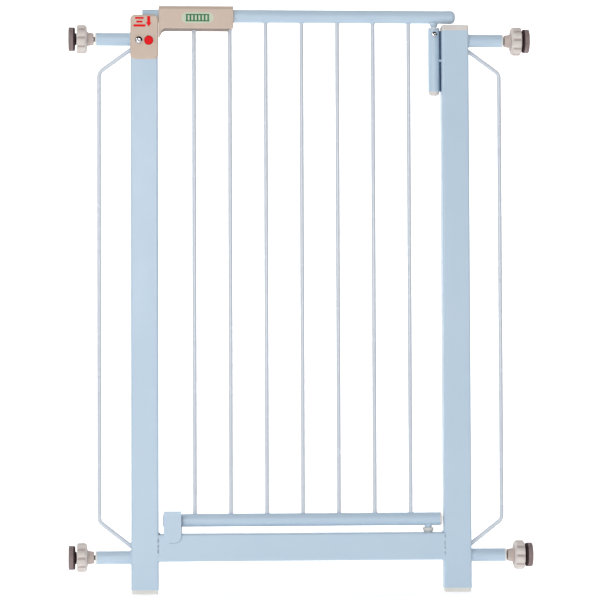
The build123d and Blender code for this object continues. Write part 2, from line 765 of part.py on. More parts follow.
def handle_shell(side):
    """One half of the handle, split at the rail's centre plane."""
    reach = handle_d / 2
    with BuildPart() as shell:
        extrude(handle_outline(), amount=reach, both=True)
        face = shell.faces().filter_by(Axis.Y)
        top = face.edges().group_by(Axis.Z)[-1]
        chamfer(top, handle_bevel)
        rest = shell.faces().filter_by(Axis.Y).edges().group_by(Axis.Z)[:-1]
        chamfer([edge for group in rest for edge in group if edge.center().Z < hz1 - handle_bevel - 1
                 and abs(edge.center().Y) > reach - 0.1 and edge.length > 2], handle_edge)
        extrude(handle_hollow(), amount=reach - handle_bevel, both=True, mode=Mode.SUBTRACT)
        for x in rib_x:
            block(x - 1.2, x + 1.2, -reach + 4, reach - 4, hz0 + 1, hz1 - 2)
        for x, z in screw_spots:
            cyl_y(x, -reach + 2, reach - 2, z, 2.6)
            cyl_y(x, -reach + 4, reach + 1, z, 1.3, mode=Mode.SUBTRACT)
            cyl_y(x, reach - 1.8, reach + 1, z, 2.7, mode=Mode.SUBTRACT)
        cyl_x(hx0 - 1, hx1 + 1, rail_z, tube_r, mode=Mode.SUBTRACT)
        for x in bar_x:
            if x < hx1 + bar_r + 1:
                cyl_z(x, 0, hz0 - leg_h - 1, rail_z, bar_r + 0.1, mode=Mode.SUBTRACT)
        if side < 0:
            block(hx0 - 5, hx1 + 5, 0, reach + 5, hz0 - leg_h - 5, hz1 + 5, mode=Mode.SUBTRACT)
        else:
            block(hx0 - 5, hx1 + 5, -reach - 5, 0, hz0 - leg_h - 5, hz1 + 5, mode=Mode.SUBTRACT)
    return shell.part


save(handle_shell(-1), "handle_front")
save(handle_shell(1), "handle_back")

with BuildPart() as handle_screws:
    back = handle_d / 2
    for x, z in screw_spots:
        cyl_y(x, back - 1.8, back - 0.3, z, 2.6)
        cyl_y(x, -back + 5, back - 1.8, z, 1.25)
save(handle_screws.part, "handle_screws")

badge_x = hx0 + badge_off
badge_z = (hz0 + hz1) / 2 - 1.2
badge_plane = Plane(origin=(badge_x, -handle_d / 2, badge_z), x_dir=(1, 0, 0), z_dir=(0, -1, 0))
with BuildPart() as handle_badge:
    with BuildSketch(badge_plane):
        RectangleRounded(badge_w, badge_h, badge_h / 2 - 0.1)
    extrude(amount=badge_t)
save(handle_badge.part, "handle_badge")
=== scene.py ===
import json
import math

import bmesh
import bpy
from mathutils import Matrix, Vector, noise


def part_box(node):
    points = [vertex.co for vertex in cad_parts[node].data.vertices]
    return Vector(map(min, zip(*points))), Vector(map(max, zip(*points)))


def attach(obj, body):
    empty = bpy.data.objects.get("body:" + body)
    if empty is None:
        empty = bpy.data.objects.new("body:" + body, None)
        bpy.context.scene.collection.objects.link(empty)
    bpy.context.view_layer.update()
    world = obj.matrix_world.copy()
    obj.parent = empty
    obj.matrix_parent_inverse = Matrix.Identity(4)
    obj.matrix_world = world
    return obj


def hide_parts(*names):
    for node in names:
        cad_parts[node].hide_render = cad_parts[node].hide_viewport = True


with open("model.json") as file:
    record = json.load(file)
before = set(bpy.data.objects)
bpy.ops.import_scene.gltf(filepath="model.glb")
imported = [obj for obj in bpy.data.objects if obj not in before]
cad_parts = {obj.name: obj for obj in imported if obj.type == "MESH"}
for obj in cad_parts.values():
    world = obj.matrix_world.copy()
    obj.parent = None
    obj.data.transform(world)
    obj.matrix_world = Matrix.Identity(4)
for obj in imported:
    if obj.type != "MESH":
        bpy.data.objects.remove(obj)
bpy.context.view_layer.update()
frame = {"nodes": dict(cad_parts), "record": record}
nodes = frame["nodes"]
MM = 0.001


def lin(r, g, b):
    """Linear colour from 8-bit sRGB."""
    out = []
    for c in (r, g, b):
        c = c / 255.0
        out.append(c / 12.92 if c <= 0.04045 else ((c + 0.055) / 1.055) ** 2.4)
    return (*out, 1.0)


# ------------------------------------------------------------------ materials
def link(tree, a, a_out, b, b_in):
    tree.links.new(a.outputs[a_out], b.inputs[b_in])


def noise_node(tree, coords, scale, detail=3.0, rough=0.5):
    n = tree.nodes.new("ShaderNodeTexNoise")
    n.inputs["Scale"].default_value = scale
    n.inputs["Detail"].default_value = detail
    n.inputs["Roughness"].default_value = rough
    link(tree, coords, "Object", n, "Vector")
    return n


def remap(tree, source, out, lo, hi, new_lo, new_hi):
    m = tree.nodes.new("ShaderNodeMapRange")
    m.inputs["From Min"].default_value = lo
    m.inputs["From Max"].default_value = hi
    m.inputs["To Min"].default_value = new_lo
    m.inputs["To Max"].default_value = new_hi
    link(tree, source, out, m, "Value")
    return m


def mix_colour(tree, factor, factor_out, a, b):
    """Mixes two colours, each either a colour or a (node, output) pair."""
    m = tree.nodes.new("ShaderNodeMix")
    m.data_type = "RGBA"
    link(tree, factor, factor_out, m, 0)
    for socket, value in ((6, a), (7, b)):
        if isinstance(value[0], float):
            m.inputs[socket].default_value = value
        else:
            tree.links.new(value[0].outputs[value[1]], m.inputs[socket])
    return m


def edge_mask(tree, radius):
    """High where the surface turns within a radius, for wear and highlights along edges."""
    bevel = tree.nodes.new("ShaderNodeBevel")
    bevel.samples = 4
    bevel.inputs["Radius"].default_value = radius
    geometry = tree.nodes.new("ShaderNodeNewGeometry")
    dot = tree.nodes.new("ShaderNodeVectorMath")
    dot.operation = "DOT_PRODUCT"
    link(tree, bevel, "Normal", dot, 0)
    link(tree, geometry, "Normal", dot, 1)
    return remap(tree, dot, "Value", 0.995, 0.8, 0.0, 1.0)


def surface(name, main, shade, edge=None, rough=(0.4, 0.55), patch=9.0, grain=900.0, height=0.05,
            edge_radius=0.8 * MM, coarse=None, **settings):
    """Painted or moulded surface: patches of two tones, lighter edges that are partly rubbed paint and partly
    a painted highlight, and a fine grain.
    """
    mat = bpy.data.materials.new(name)
    mat.use_nodes = True
    tree = mat.node_tree
    shader = tree.nodes["Principled BSDF"]
    coords = tree.nodes.new("ShaderNodeTexCoord")
    patches = noise_node(tree, coords, patch, 4.0, 0.6)
    spread = remap(tree, patches, "Fac", 0.3, 0.7, 0.0, 1.0)
    colour = (mix_colour(tree, spread, "Result", main, shade), 2)
    # Lighter edges: partly rubbed paint, partly a painted highlight.
    if edge:
        mask = edge_mask(tree, edge_radius)
        wear_and_highlight = noise_node(tree, coords, 160.0, 3.0, 0.6)
        gate = remap(tree, wear_and_highlight, "Fac", 0.35, 0.65, 0.35, 1.0)
        both = tree.nodes.new("ShaderNodeMath")
        both.operation = "MULTIPLY"
        link(tree, mask, "Result", both, 0)
        link(tree, gate, "Result", both, 1)
        colour = (mix_colour(tree, both, "Value", colour, edge), 2)
    tree.links.new(colour[0].outputs[colour[1]], shader.inputs["Base Color"])
    sheen = noise_node(tree, coords, patch * 7, 3.0, 0.6)
    glossy = remap(tree, sheen, "Fac", 0.3, 0.7, rough[0], rough[1])
    link(tree, glossy, "Result", shader, "Roughness")
    fine = noise_node(tree, coords, grain, 2.0, 0.5)
    bump = tree.nodes.new("ShaderNodeBump")
    bump.inputs["Strength"].default_value = 1.0
    bump.inputs["Distance"].default_value = height * MM
    link(tree, fine, "Fac", bump, "Height")
    if coarse:
        wave = noise_node(tree, coords, coarse[0], 2.0, 0.5)
        second = tree.nodes.new("ShaderNodeBump")
        second.inputs["Strength"].default_value = 1.0
        second.inputs["Distance"].default_value = coarse[1] * MM
        link(tree, wave, "Fac", second, "Height")
        link(tree, second, "Normal", bump, "Normal")
    link(tree, bump, "Normal", shader, "Normal")
    for key, value in settings.items():
        shader.inputs[key.replace("_", " ")].default_value = value
    return mat


MATS = {
    "blue_paint": surface(
        "blue_paint", lin(188, 207, 223), lin(181, 202, 220), edge=lin(208, 220, 231),
        rough=(0.34, 0.46), patch=4.0, grain=480.0, height=0.03, coarse=(80.0, 0.05),
        edge_radius=1.0 * MM, Specular_IOR_Level=0.35, Coat_Weight=0.15, Coat_Roughness=0.25),
    "cream_plastic": surface(
        "cream_plastic", lin(225, 223, 218), lin(215, 212, 206), edge=lin(236, 235, 231),
        rough=(0.42, 0.55), patch=40.0, grain=1500.0, height=0.03, Specular_IOR_Level=0.35),
    "knob_plastic": surface(
        "knob_plastic", lin(219, 211, 206), lin(206, 196, 191), edge=lin(226, 219, 214),
        rough=(0.42, 0.56), patch=70.0, grain=1300.0, height=0.05, Specular_IOR_Level=0.35),
    "beige_plastic": surface(
        "beige_plastic", lin(206, 187, 172), lin(200, 180, 165), edge=lin(216, 203, 193),
        rough=(0.40, 0.52), patch=30.0, grain=1400.0, height=0.04, Specular_IOR_Level=0.35),
    "pad_rubber": surface(
        "pad_rubber", lin(146, 130, 129), lin(124, 108, 108), edge=lin(170, 156, 154),
        rough=(0.66, 0.85), patch=70.0, grain=1100.0, height=0.08, Specular_IOR_Level=0.3),
    "grey_rubber": surface(
        "grey_rubber", lin(96, 96, 98), lin(84, 84, 86), edge=lin(120, 120, 120),
        rough=(0.7, 0.9), patch=70.0, grain=1100.0, height=0.08, Specular_IOR_Level=0.3),
    "zinc_steel": surface(
        "zinc_steel", lin(158, 160, 164), lin(132, 134, 140), edge=lin(190, 192, 194),
        rough=(0.26, 0.42), patch=120.0, grain=1800.0, height=0.02, Metallic=1.0),
    "chrome_screw": surface(
        "chrome_screw", lin(206, 207, 210), lin(188, 190, 196),
        rough=(0.06, 0.14), patch=150.0, grain=1500.0, height=0.006, Metallic=1.0),
    "red_plastic": surface(
        "red_plastic", lin(232, 0, 12), lin(216, 0, 8), edge=lin(236, 20, 26),
        rough=(0.36, 0.46), patch=80.0, grain=1200.0, height=0.015, Specular_IOR_Level=0.12),
    "green_label": surface(
        "green_label", lin(196, 206, 184), lin(190, 200, 178), edge=lin(210, 220, 198),
        rough=(0.3, 0.42), patch=80.0, grain=1200.0, height=0.01),
}
# Paler copy of the blue paint for the bars and guard rods: a painted sheen on the round rods.
BAR_PAINT_PAINTED_SHEEN = surface(
    "pale_paint", lin(204, 210, 219), lin(196, 203, 213), edge=lin(216, 221, 227),
    rough=(0.2, 0.3), patch=4.0, grain=480.0, height=0.03, edge_radius=1.0 * MM,
    Specular_IOR_Level=0.7, Coat_Weight=0.3, Coat_Roughness=0.15)
CAP_PLASTIC = surface(
    "cap_plastic", lin(219, 213, 210), lin(211, 204, 200), edge=lin(228, 222, 218),
    rough=(0.42, 0.55), patch=40.0, grain=1500.0, height=0.03, Specular_IOR_Level=0.35)
# Dark blue for painted shadow in gaps.
PAINTED_SHADOW_BLUE = surface(
    "painted_shadow_blue", lin(52, 70, 108), lin(38, 54, 92), rough=(0.6, 0.8), patch=90.0,
    grain=900.0, height=0.03, Specular_IOR_Level=0.2)
# Darker knob plastic for the hub: painted shade.
HUB_PAINTED_SHADE = surface(
    "knob_hub_painted_shade", lin(198, 184, 178), lin(184, 168, 162), edge=lin(208, 196, 190),
    rough=(0.42, 0.56), patch=70.0, grain=1300.0, height=0.05, Specular_IOR_Level=0.3)
# Darker knob plastic for the valleys between lobes and the wheel's face toward the hub: painted shade.
GROOVE_PAINTED_SHADE = surface(
    "knob_groove_painted_shade", lin(188, 175, 170), lin(174, 160, 155), rough=(0.5, 0.64), patch=90.0,
    grain=1300.0, height=0.05, Specular_IOR_Level=0.25)
# Darker blue for a painted shadow line round the catch bracket.
JOINT_SHADE = surface(
    "joint_shade", lin(128, 150, 178), lin(112, 134, 164), rough=(0.5, 0.7), patch=90.0,
    grain=900.0, height=0.03, Specular_IOR_Level=0.2)
# Painted shade for the underside of the handle.
SHADE = surface(
    "handle_underside_shade", lin(134, 117, 108), lin(124, 106, 97), edge=lin(172, 156, 146),
    rough=(0.5, 0.65), patch=30.0, grain=1400.0, height=0.04, Specular_IOR_Level=0.25)
GREEN_INK = surface(
    "green_ink", lin(0, 112, 56), lin(0, 98, 46), rough=(0.3, 0.45), patch=120.0,
    grain=1500.0, height=0.01)
# Darker rubber for the knob side of the cups: painted shade.
PAD_HOLLOW_SHADE = surface(
    "pad_hollow_painted_shade", lin(64, 44, 47), lin(50, 32, 36), edge=lin(84, 64, 66), rough=(0.7, 0.9),
    patch=60.0, grain=900.0, height=0.08, Specular_IOR_Level=0.3)

slot_of = {s["node"]: s["material_slot"] for s in frame["record"]["subparts"]}
for name, obj in nodes.items():
    material = MATS[slot_of[name]]
    # Bars and guard rods take the paler copy of the blue paint, a painted sheen.
    if name.startswith("bar_") or name.endswith("guard_rod"):
        material = BAR_PAINT_PAINTED_SHEEN
    if name in ("right_top_cap", "hinge_plug", "bottom_rail_right_cap"):
        material = CAP_PLASTIC
    for entry in obj.material_slots:
        entry.material = material
    if not obj.material_slots:
        obj.data.materials.append(material)


# ------------------------------------------------------------------ mesh helpers
def make_object(name, mesh, material, body, smooth=True):
    obj = bpy.data.objects.new(name, mesh)
    bpy.context.scene.collection.objects.link(obj)
    mesh.materials.append(material)
    for polygon in mesh.polygons:
        polygon.use_smooth = smooth
    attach(obj, body)
    return obj


def from_bmesh(name, bm, material, body, smooth=True):
    bmesh.ops.recalc_face_normals(bm, faces=bm.faces)
    mesh = bpy.data.meshes.new(name)
    bm.to_mesh(mesh)
    bm.free()
    return make_object(name, mesh, material, body, smooth)


def piece_from(name, bm, material, body, smooth=True):
    """New piece that rides a body and stands in a material slot."""
    piece = from_bmesh(name, bm, material, body, smooth)
    return piece


def loft(bm, rings, closed_ends=True):
    """Skin over rings of vertices that all have the same number of points."""
    count = len(rings[0])
    for a, b in zip(rings, rings[1:]):
        for j in range(count):
            k = (j + 1) % count
            bm.faces.new((a[j], b[j], b[k], a[k]))
    if closed_ends:
        bm.faces.new(rings[0])
        bm.faces.new(rings[-1])


def frame_at(origin, along):
    """Matrix whose Z axis points along a direction."""
    z = Vector(along).normalized()
    return Matrix.Translation(origin) @ z.to_track_quat("Z", "Y").to_matrix().to_4x4()


def bead(bm, origin, along, radius, thick, wobble, segments=28, sides=8):
    """Weld bead: a ring whose thickness and height ripple."""
    place = frame_at(origin, along)
    rings = []
    for i in range(segments):
        a = 2 * math.pi * i / segments
        seed = Vector((origin[0] * 90 + math.cos(a) * 2.2, origin[2] * 90, math.sin(a) * 2.2))
        t = thick * (1 + wobble * noise.noise(seed * 1.7))
        ring = []
        for j in range(sides):
            b = 2 * math.pi * j / sides
            r = radius + t * math.cos(b)
            ring.append(bm.verts.new(place @ Vector((r * math.cos(a), r * math.sin(a), t * math.sin(b)))))
        rings.append(ring)
    for i in range(segments):
        for j in range(sides):
            k = (i + 1) % segments
            m = (j + 1) % sides
            bm.faces.new((rings[i][j], rings[k][j], rings[k][m], rings[i][m]))


def seam(bm, points, thick, wobble, sides=8):
    """Weld bead along an open line of points, with rounded ends."""
    rings = []
    count = len(points)
    for i, p in enumerate(points):
        ahead = points[min(i + 1, count - 1)] - points[max(i - 1, 0)]
        place = frame_at(p, ahead)
        end = min(i, count - 1 - i)
        t = thick * (1 + wobble * noise.noise(p * 520)) * min(1.0, 0.35 + 0.35 * end)
        ring = []
        for j in range(sides):
            b = 2 * math.pi * j / sides
            ring.append(bm.verts.new(place @ Vector((t * math.cos(b), t * math.sin(b), 0))))
        rings.append(ring)
    loft(bm, rings)


def line(a, b, step=1.5 * MM):
    a, b = Vector(a), Vector(b)
    n = max(3, int((b - a).length / step))
    return [a.lerp(b, i / n) for i in range(n + 1)]


def middle(node):
    lo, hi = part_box(node)
    return (Vector(lo) + Vector(hi)) / 2


# ------------------------------------------------------------------ welds
CORNERS = ("left_upper", "left_lower", "right_upper", "right_lower")
TUBE_R = 9.5 * MM
GUARD_R = 3.0 * MM
BAR_R = 3.0 * MM
BAR_COUNT = 7
END_GAP = 2.5 * MM


def side_of(name):
    """-1 for what is on the left, 1 for what is on the right."""
    return -1 if name.startswith("left") else 1


def corners_of(node):
    """The two opposite corners of a CAD node's box."""
    lo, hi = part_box(node)
    return Vector(lo), Vector(hi)


def crossbar_welds(bm):
    """Beads round both ends of the crossbar, with the front grooves beside the posts filled flush."""
    fill_r = 2.65 * MM
    fill_in = 2.4 * MM
    fill_out = 0.5 * MM
    fill_end = 0.5 * MM
    lo, hi = corners_of("bottom_crossbar")
    for x in (lo.x, hi.x):
        for z in (lo.z, hi.z):
            seam(bm, line((x, lo.y + END_GAP, z), (x, hi.y - END_GAP, z)), 1.5 * MM, 0.5)
        seam(bm, line((x, hi.y, lo.z + END_GAP), (x, hi.y, hi.z - END_GAP)), 1.1 * MM, 0.5)
        groove_x = x + (-fill_out if x < 0 else fill_out)
        groove_y = lo.y + fill_in
        seam(bm, line((groove_x, groove_y, lo.z + fill_end), (groove_x, groove_y, hi.z - fill_end)),
             fill_r, 0.03, 20)


def frame_welds():
    """Beads where arms, guard rods, crossbar, hinge web and catch bracket meet the posts."""
    bm = bmesh.new()
    for where in CORNERS:
        lo, hi = corners_of(where + "_arm")
        side = side_of(where)
        root = Vector((hi.x if side < 0 else lo.x, 0, (lo.z + hi.z) / 2))
        bead(bm, root, (side, 0, 0), TUBE_R + 0.2 * MM, 1.5 * MM, 0.5, 40)
    rod_centre = GUARD_R + 0.9 * MM
    for node in ("left_guard_rod", "right_guard_rod"):
        lo, hi = corners_of(node)
        side = side_of(node)
        x = hi.x if side < 0 else lo.x
        for z in (lo.z + rod_centre, hi.z - rod_centre):
            bead(bm, Vector((x, 0, z)), (side, 0, 0), GUARD_R + 0.4 * MM, 1.2 * MM, 0.5, 24)
    crossbar_welds(bm)
    web_lo, web_hi = corners_of("hinge_web")
    for start, end in ((0.08, 0.3), (0.62, 0.84)):
        low = web_lo.z + (web_hi.z - web_lo.z) * start
        high = web_lo.z + (web_hi.z - web_lo.z) * end
        seam(bm, line((web_hi.x, web_hi.y, low), (web_hi.x, web_hi.y, high)), 1.3 * MM, 0.5)
    flap_lo, flap_hi = corners_of("catch_bracket")
    bar_lo, bar_hi = corners_of("bottom_crossbar")
    y = bar_lo.y + 0.3 * MM
    seam(bm, line((flap_lo.x + END_GAP, y, bar_hi.z), (flap_hi.x - END_GAP, y, bar_hi.z)), 1.2 * MM, 0.5)
    piece_from("frame_welds", bm, MATS["blue_paint"], "frame")


def leaf_welds():
    """Beads at the ends of the bars, except where the handle hides them."""
    bm = bmesh.new()
    low_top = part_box("bottom_rail")[1][2]
    high_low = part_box("top_rail")[0][2]
    handle_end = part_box("handle_front")[1][0]
    sink = 0.2 * MM
    for i in range(BAR_COUNT):
        x = middle("bar_%d" % (i + 1)).x
        bead(bm, Vector((x, 0, low_top - sink)), (0, 0, 1), BAR_R + sink, 0.9 * MM, 0.4, 20, 6)
        if x > handle_end:
            bead(bm, Vector((x, 0, high_low + sink)), (0, 0, 1), BAR_R + sink, 0.9 * MM, 0.4, 20, 6)
    piece_from("leaf_welds", bm, MATS["blue_paint"], "gate_leaf")


frame_welds()
leaf_welds()


# ------------------------------------------------------------------ threaded rods
def thread_piece(where):
    """Rod with a helical thread for its look. The coupling sets how far its pad moves in a turn."""
    side = side_of(where)
    lo, hi = corners_of(where + "_rod")
    centre = (lo + hi) / 2
    length = hi.x - lo.x
    pitch, crest, root = 1.25 * MM, 4.0 * MM, 3.35 * MM
    around, per_pitch = 24, 6
    steps = int(length / pitch * per_pitch)
    start = lo.x if side > 0 else hi.x
    bm = bmesh.new()
    rings = []
    for i in range(steps + 1):
        x = i / per_pitch * pitch
        fade = min(1.0, x / (2 * pitch), (length - x) / (2 * pitch))
        ring = []
        for j in range(around):
            a = 2 * math.pi * j / around
            phase = (x / pitch + j / around) % 1.0
            depth = 1 - abs(2 * phase - 1)
            r = crest - (crest - root) * depth * fade
            ring.append(bm.verts.new((start + side * x, r * math.cos(a), centre.z + r * math.sin(a))))
        rings.append(ring)
    loft(bm, rings)
    rod = piece_from(where + "_thread", bm, MATS["zinc_steel"], where + "_foot", smooth=False)
    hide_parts(where + "_rod")


def lathe(name, profile, z, side, material, body, around=64, ripple=None):
    """Solid of revolution about the X axis at a height. Profile points are (x, r) in millimetres."""
    bm = bmesh.new()
    rings = []
    for x, r in profile:
        ring = []
        for j in range(around):
            a = 2 * math.pi * j / around
            rr = r * (ripple(x, r, a) if ripple else 1.0)
            ring.append(bm.verts.new((side * x * MM, rr * MM * math.cos(a), z + rr * MM * math.sin(a))))
        rings.append(ring)
    hollow = profile[0] == profile[-1]
    loft(bm, rings, closed_ends=not hollow)
    if hollow:
        bmesh.ops.remove_doubles(bm, verts=bm.verts, dist=1e-6)
    return from_bmesh(name, bm, material, body)


def arc(cx, cr, radius, start, end, steps=6):
    """Points of a rounded corner in a lathe profile, with angles in degrees."""
    out = []
    for i in range(steps + 1):
        a = math.radians(start + (end - start) * i / steps)
        out.append((cx + radius * math.cos(a), cr + radius * math.sin(a)))
    return out


KNOB_LOBES = 9


def knob_piece(where):
    """Hand nut: rounded lobes with deep valleys, on a tapered hub. The hub, the valleys and the wheel's face
    toward the hub are darker copies of the knob plastic, as painted shade.
    """
    side = side_of(where)
    lo, hi = corners_of(where + "_knob")
    near = (lo.x if side > 0 else -hi.x) / MM
    far = (hi.x if side > 0 else -lo.x) / MM
    z = middle(where + "_knob").z
    wheel = far - 15.0
    top = 21.4

    def lobes(x, r, a):
        if r < 14:
            return 1.0
        wave = 0.5 + 0.5 * math.cos(a * KNOB_LOBES)
        return 1.0 - 0.13 * (1 - wave ** 0.45)

    hub = near + 1.6
    profile = [(hub, 4.45), (hub, 7.9)]
    profile += arc(hub + 0.6, 8.0, 0.6, 180, 90, 3)
    profile += [(hub + 3.5, 9.2), (wheel - 1.6, 9.9), (wheel - 0.5, 10.8), (wheel, 12.2)]
    profile += [(wheel + 0.1, 14.5), (wheel + 0.1, 16.2)]
    profile += arc(wheel + 2.3, 17.6, 2.2, 180, 120, 4)
    profile += arc(wheel + 3.9, top - 1.6, 1.6, 130, 90, 4)
    profile += [(wheel + 6.4, top + 0.05), (far - 5.5, top + 0.05)]
    profile += arc(far - 2.2, top - 2.2, 2.2, 90, 0)
    profile += [(far, 15.5), (far, 13.0), (far - 0.4, 12.4), (far - 2.2, 11.8), (far - 2.4, 11.0)]
    profile += [(far - 2.4, 6.8), (far - 2.0, 6.2), (far - 0.6, 6.0), (far - 0.6, 4.45), (hub, 4.45)]
    knob = lathe(where + "_handnut", profile, z, side, MATS["knob_plastic"], where + "_knob",
                 around=144, ripple=lobes)
    knob.data.materials.append(HUB_PAINTED_SHADE)
    knob.data.materials.append(GROOVE_PAINTED_SHADE)
    # Hub, valleys and the wheel's face toward the hub take the painted shade materials.
    for polygon in knob.data.polygons:
        spot = polygon.center
        reach = math.hypot(spot.y, spot.z - z) / MM
        along = abs(spot.x) / MM
        if along < wheel - 0.6:
            polygon.material_index = 1
        elif along < wheel + 0.2 and reach < 15:
            polygon.material_index = 2
        elif reach < top * 0.925 and wheel + 2.2 < along < far - 1.6 and reach > 15:
            polygon.material_index = 2
    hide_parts(where + "_knob")


def pad_piece(where):
    """Rubber cup: flat ribbed face to the wall, dished behind its rim. The dished side toward the knob is
    darkened as painted shade.
    """
    side = side_of(where)
    lo, hi = corners_of(where + "_pad")
    near = (lo.x if side > 0 else -hi.x) / MM
    far = (hi.x if side > 0 else -lo.x) / MM
    z = middle(where + "_pad").z
    profile = [(near, 4.0), (near, 8.4), (near + 2.4, 9.0), (near + 3.6, 10.0), (near + 4.2, 11.6)]
    profile += [(near + 3.9, 13.2), (near + 3.0, 14.8)]
    profile += arc(near + 2.9, 16.1, 0.9, 200, 100, 5)
    profile += [(near + 4.5, 17.3), (near + 6.0, 17.5), (near + 7.0, 17.5)]
    profile += [(near + 7.6, 17.25), (near + 8.0, 17.2), (near + 8.4, 17.5)]
    profile += arc(far - 1.4, 16.1, 1.4, 90, 0, 5)
    for r in (15.2, 12.2, 9.2, 6.2, 3.2):
        profile += [(far, r), (far - 0.7, r - 0.35), (far - 0.7, r - 1.15), (far, r - 1.5)]
    profile += [(far, 0.4), (near + 8, 0.4)]
    pad = lathe(where + "_cup", profile, z, side, MATS["pad_rubber"], where + "_foot", around=72)
    pad.data.materials.append(PAD_HOLLOW_SHADE)
    # The dished side toward the knob takes the painted shade.
    for polygon in pad.data.polygons:
        spot = polygon.center
        reach = math.hypot(spot.y, spot.z - z) / MM
        if abs(spot.x) / MM < near + 5.2 and reach < 17.45:
            polygon.material_index = 1
    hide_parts(where + "_pad")


for where in CORNERS:
    thread_piece(where)
    knob_piece(where)
    pad_piece(where)


# ------------------------------------------------------------------ plain marks in place of lettering
def plate_bar(bm, x, z, wide, tall, y0, y1):
    """Small raised bar with rounded ends, seen from the front."""
    r = min(wide, tall) / 2
    outline = []
    steps = 6
    for cx, cz, a0 in ((wide / 2 - r, tall / 2 - r, 0), (-wide / 2 + r, tall / 2 - r, 90),
                       (-wide / 2 + r, -tall / 2 + r, 180), (wide / 2 - r, -tall / 2 + r, 270)):
        for i in range(steps + 1):
            a = math.radians(a0 + 90 * i / steps)
            outline.append((x + cx + r * math.cos(a), z + cz + r * math.sin(a)))
    front = [bm.verts.new((u, y0, v)) for u, v in outline]
    back = [bm.verts.new((u, y1, v)) for u, v in outline]
    bm.faces.new(front)
    bm.faces.new(back)
    for i in range(len(outline)):
        k = (i + 1) % len(outline)
        bm.faces.new((front[i], front[k], back[k], back[i]))


def badge_pictogram():
    """Picture of a small fence: two rails and seven bars, raised on the badge."""
    rail_wide, rail_tall, rail_off = 35 * MM, 1.8 * MM, 4.6 * MM
    bar_wide, bar_tall, bar_pitch = 2.6 * MM, 9.4 * MM, 5.2 * MM
    bm = bmesh.new()
    centre = middle("handle_badge")
    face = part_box("handle_badge")[0][1]
    for k in (-1, 1):
        plate_bar(bm, centre.x, centre.z + k * rail_off, rail_wide, rail_tall, face - 0.15 * MM, face)
    for i in range(7):
        plate_bar(bm, centre.x + (i - 3) * bar_pitch, centre.z, bar_wide, bar_tall, face - 0.12 * MM, face)
    bmesh.ops.remove_doubles(bm, verts=bm.verts, dist=1e-7)
    piece_from("badge_pictogram", bm, GREEN_INK, "gate_leaf", smooth=False)


badge_pictogram()


# ------------------------------------------------------------------ strips and lines of painted shadow
def prism(bm, lo, hi):
    """Upright box between two corners."""
    bmesh.ops.create_cube(bm, size=1.0, matrix=Matrix.Translation((Vector(lo) + Vector(hi)) / 2)
                          @ Matrix.Diagonal((hi[0] - lo[0], hi[1] - lo[1], hi[2] - lo[2], 1)))


def bracket_shadow_line():
    """Fine darker line in place of the shadow at the catch bracket's right and lower edge. Millimetres."""
    corner_r = 10
    straight = 22
    off = 0.15
    flap_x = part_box("catch_bracket")[1][0]
    flap_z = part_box("catch_bracket")[0][2]
    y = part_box("bottom_crossbar")[0][1] - 0.2 * MM
    rim = [Vector((flap_x + off * MM, y, flap_z + (straight - i) * MM)) for i in range(12)]
    for i in range(1, 11):
        a = math.radians(9 * i)
        reach = corner_r + off
        rim.append(Vector((flap_x - corner_r * MM + reach * math.cos(a) * MM, y,
                           flap_z + corner_r * MM - reach * math.sin(a) * MM)))
    rim += [Vector((flap_x - (corner_r + i) * MM, y, flap_z - off * MM)) for i in range(1, 9)]
    bm = bmesh.new()
    seam(bm, rim, 0.55 * MM, 0.3)
    piece_from("bracket_shadow_line", bm, JOINT_SHADE, "frame")


def shadow_strips():
    """Dark strips in place of deep shadow: hinge gap, bracket's edge and the crossbar's upper left corner."""
    bm = bmesh.new()
    tube_lo, tube_hi = corners_of("hinge_tube")
    gap_left, gap_right = tube_hi.x - 0.7 * MM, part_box("right_post")[0][0] + 0.05 * MM
    gap_front, gap_back = 1.2 * MM, 2.2 * MM
    gap_low, gap_high = tube_lo.z + 1 * MM, tube_hi.z - 2.5 * MM
    lug_z = (tube_lo.z + tube_hi.z) / 2
    lug = 2 * MM
    for low, high in ((gap_low, lug_z - lug), (lug_z + lug, gap_high)):
        prism(bm, (gap_left, gap_front, low), (gap_right, gap_back, high))
    flap_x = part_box("catch_bracket")[1][0]
    flap_tall = 27 * MM
    bar_lo, bar_hi = corners_of("bottom_crossbar")
    prism(bm, (flap_x - 1.2 * MM, bar_lo.y + 0.1 * MM, bar_hi.z + 0.3 * MM),
          (flap_x + 1.0 * MM, bar_lo.y + 1.4 * MM, bar_hi.z + flap_tall))
    prism(bm, (bar_lo.x + 0.2 * MM, bar_lo.y + 1.5 * MM, bar_hi.z - 0.2 * MM),
          (bar_lo.x + 2.0 * MM, bar_lo.y + 4.0 * MM, bar_hi.z + 1.6 * MM))
    piece_from("hinge_gap_shadow", bm, PAINTED_SHADOW_BLUE, "frame", smooth=False)


bracket_shadow_line()
shadow_strips()


# ------------------------------------------------------------------ domed screw heads
def dome_material():
    """Polished metal with a painted tone, dark above and bright below, in place of a reflection."""
    mat = surface("chrome_dome", lin(206, 207, 210), lin(190, 192, 198), rough=(0.08, 0.16),
                  patch=150.0, grain=1500.0, height=0.004, Metallic=1.0)
    tree = mat.node_tree
    shader = tree.nodes["Principled BSDF"]
    source = shader.inputs["Base Color"].links[0].from_socket
    geometry = tree.nodes.new("ShaderNodeNewGeometry")
    split = tree.nodes.new("ShaderNodeVectorMath")
    split.operation = "DOT_PRODUCT"
    split.inputs[1].default_value = (0.35, 0.0, 0.94)
    link(tree, geometry, "Normal", split, 0)
    ramp = remap(tree, split, "Value", -0.05, 0.16, 0.0, 1.0)
    blend = mix_colour(tree, ramp, "Result", lin(206, 207, 210), lin(16, 16, 18))
    tree.links.new(source, blend.inputs[6])
    tree.links.new(blend.outputs[2], shader.inputs["Base Color"])
    return mat


DOME = dome_material()


